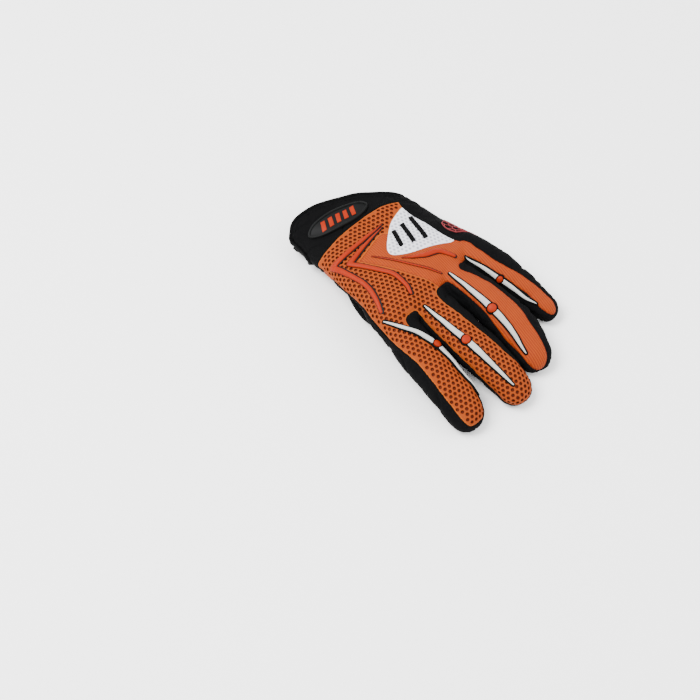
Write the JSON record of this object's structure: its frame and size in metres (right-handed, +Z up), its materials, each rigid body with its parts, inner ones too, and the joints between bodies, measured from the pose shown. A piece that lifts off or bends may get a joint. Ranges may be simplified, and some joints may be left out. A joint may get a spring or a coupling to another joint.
{
  "type": "motocross glove",
  "caption": "Left motocross glove lying palm down, with curled fingers, folded thumb, moulded back ribs, finger guards and strapped cuff.",
  "frame": {"origin": "centre of the footprint, on the surface that the glove lies on", "axes": "+Z up, -Y towards the fingertips, +X towards the little finger"},
  "size_m": [0.13, 0.2204, 0.0436],
  "materials": {
    "suede": "black suede-like synthetic leather, matt",
    "neoprene": "black neoprene with a fine fabric face",
    "mesh": "orange air mesh with staggered holes",
    "knit": "bright orange fine ribbed knit",
    "white": "white fine mesh",
    "rubber": "satin red-orange moulded rubber",
    "dark_rubber": "satin dark grey moulded rubber",
    "silver": "satin silver-white moulded plastic",
    "print": "pinkish red silicone print"
  },
  "bodies": {
    "root": {"palm_shell": "suede", "thumb_gusset": "knit", "thumb": "suede", "thumb_patch": "knit", "back_mesh": "mesh", "back_knit": "knit", "white_patch": "white", "cuff": "neoprene", "flame_rib_outer": "rubber", "flame_rib_inner": "rubber", "flame_rib_side": "rubber", "flame_line": "rubber", "cuff_badge": "dark_rubber", "wrist_strap": "neoprene", "strap_tab": "dark_rubber", "palm_grip": "print", "index_grip": "print", "middle_grip": "print", "badge_bar_1": "rubber", "badge_bar_2": "rubber", "badge_bar_3": "rubber", "badge_bar_4": "rubber", "badge_bar_5": "rubber", "tab_bar_1": "silver", "tab_bar_2": "rubber", "tab_bar_3": "rubber", "tab_bar_4": "rubber", "patch_bar_1": "suede", "patch_bar_2": "suede", "patch_bar_3": "suede", "index_guard_base": "suede", "index_blade_rear": "silver", "index_blade_front": "silver", "index_stud": "rubber", "middle_guard_base": "suede", "middle_blade_rear": "silver", "middle_blade_front": "silver", "middle_stud": "rubber", "ring_guard_base": "suede", "ring_blade_rear": "silver", "ring_blade_front": "silver", "ring_stud": "rubber", "pinky_guard_base": "suede", "pinky_blade_rear": "silver", "pinky_blade_front": "silver", "pinky_stud": "rubber"}
  },
  "joints": []
}
